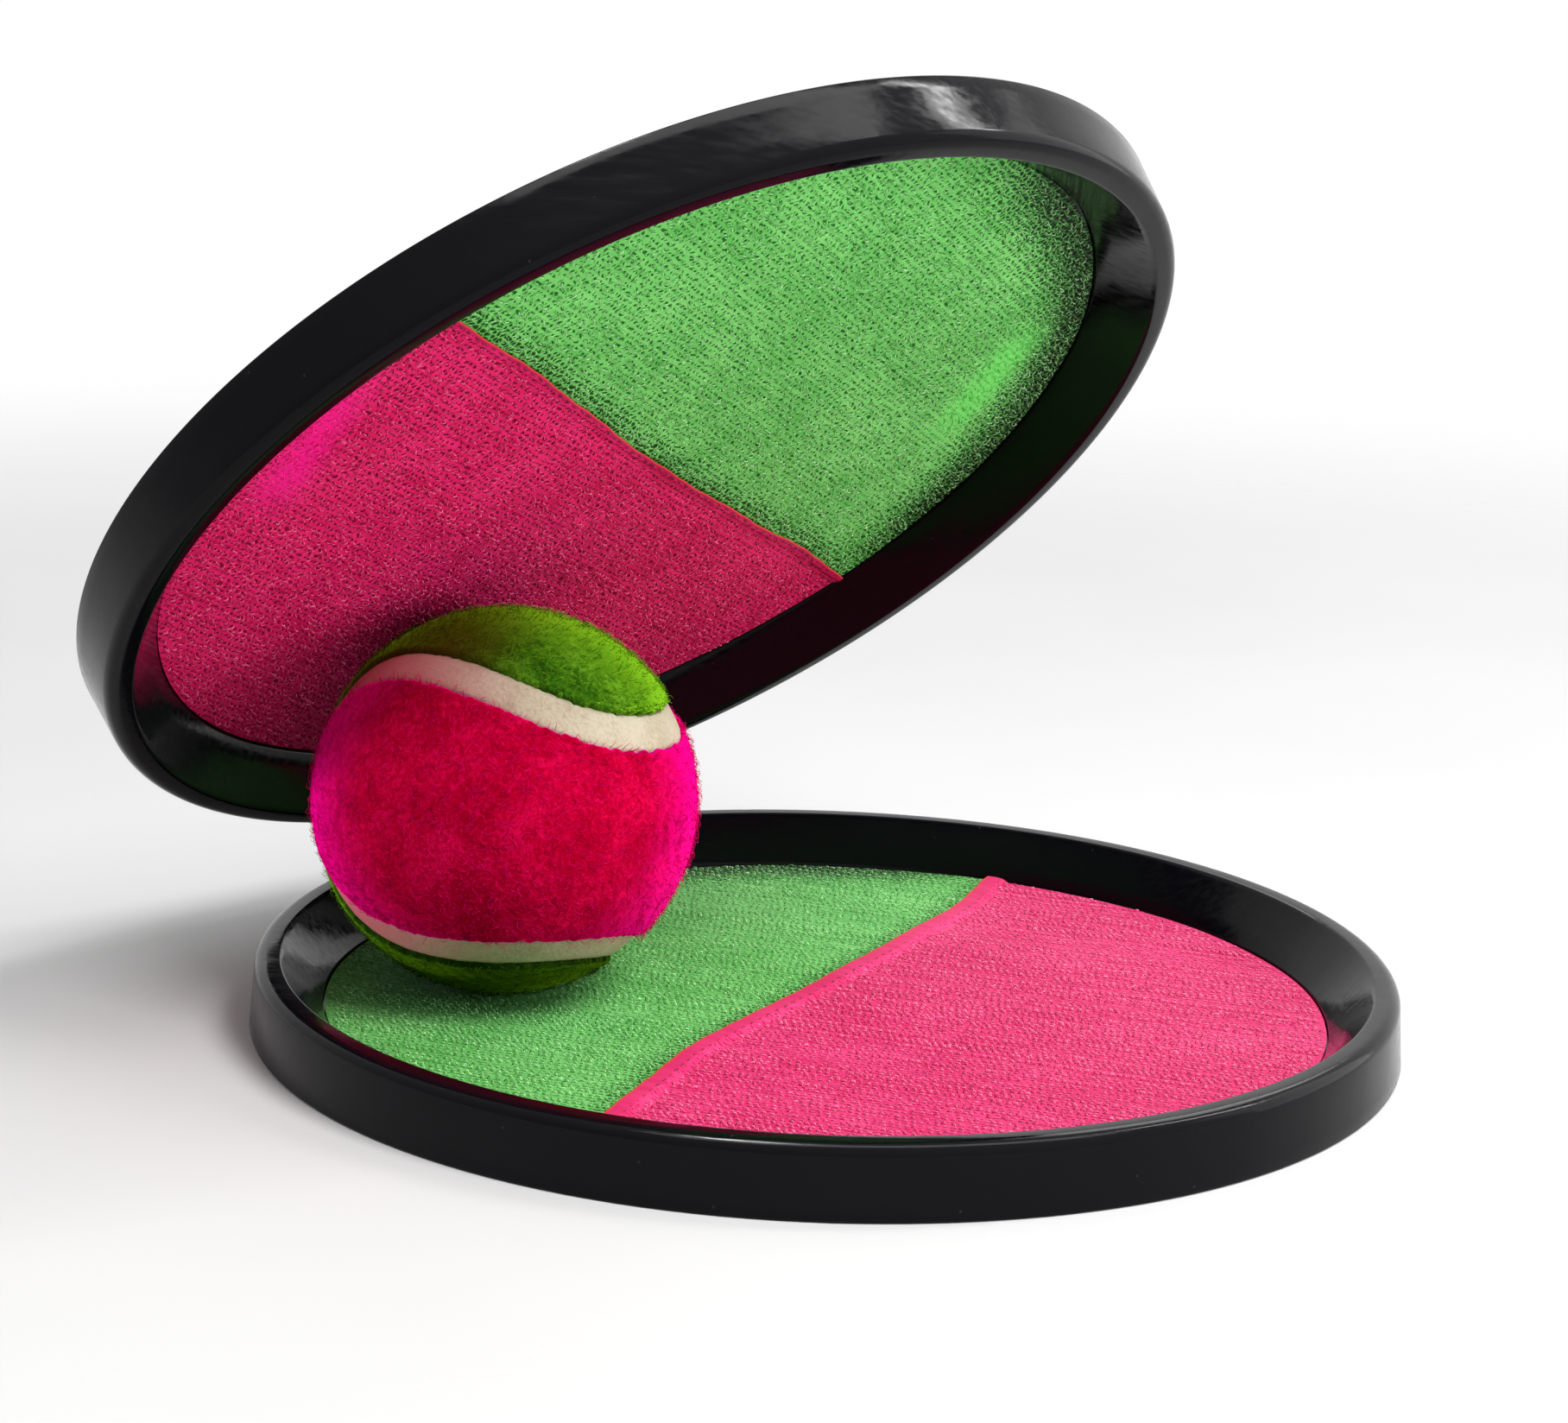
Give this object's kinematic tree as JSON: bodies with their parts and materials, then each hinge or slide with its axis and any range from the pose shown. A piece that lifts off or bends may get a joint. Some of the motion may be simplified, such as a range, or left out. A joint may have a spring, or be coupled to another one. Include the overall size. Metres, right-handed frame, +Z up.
{
  "type": "hook and loop catch set",
  "caption": "Two round hand dishes faced with green and pink hook fabric, one lying flat and one leaning back on a two-colour felt ball held between them.",
  "frame": {"origin": "middle of the set's footprint on the floor that the lower dish lies on", "axes": "+Z up; +X towards the open side of the lower dish, away from the ball; +Y away from the viewer, behind the set"},
  "size_m": [0.2122, 0.188, 0.1569],
  "materials": {
    "dish_plastic": "glossy injection-moulded black",
    "green_hook_fabric": "hook tape pile, green",
    "pink_hook_fabric": "hook tape pile, deep pink",
    "strap_elastic": "ribbed black elastic webbing",
    "green_felt": "napped felt, green",
    "pink_felt": "napped felt, neon pink",
    "seam_rubber": "matt cream rubber",
    "core_rubber": "matt rubber"
  },
  "bodies": {
    "root": {"lower_dish": "dish_plastic", "lower_green_fabric": "green_hook_fabric", "lower_pink_fabric": "pink_hook_fabric", "lower_strap": "strap_elastic", "upper_dish": "dish_plastic", "upper_green_fabric": "green_hook_fabric", "upper_pink_fabric": "pink_hook_fabric", "upper_strap": "strap_elastic", "ball_core": "core_rubber", "ball_green_felt": "green_felt", "ball_pink_felt": "pink_felt", "ball_seam": "seam_rubber"}
  },
  "joints": []
}
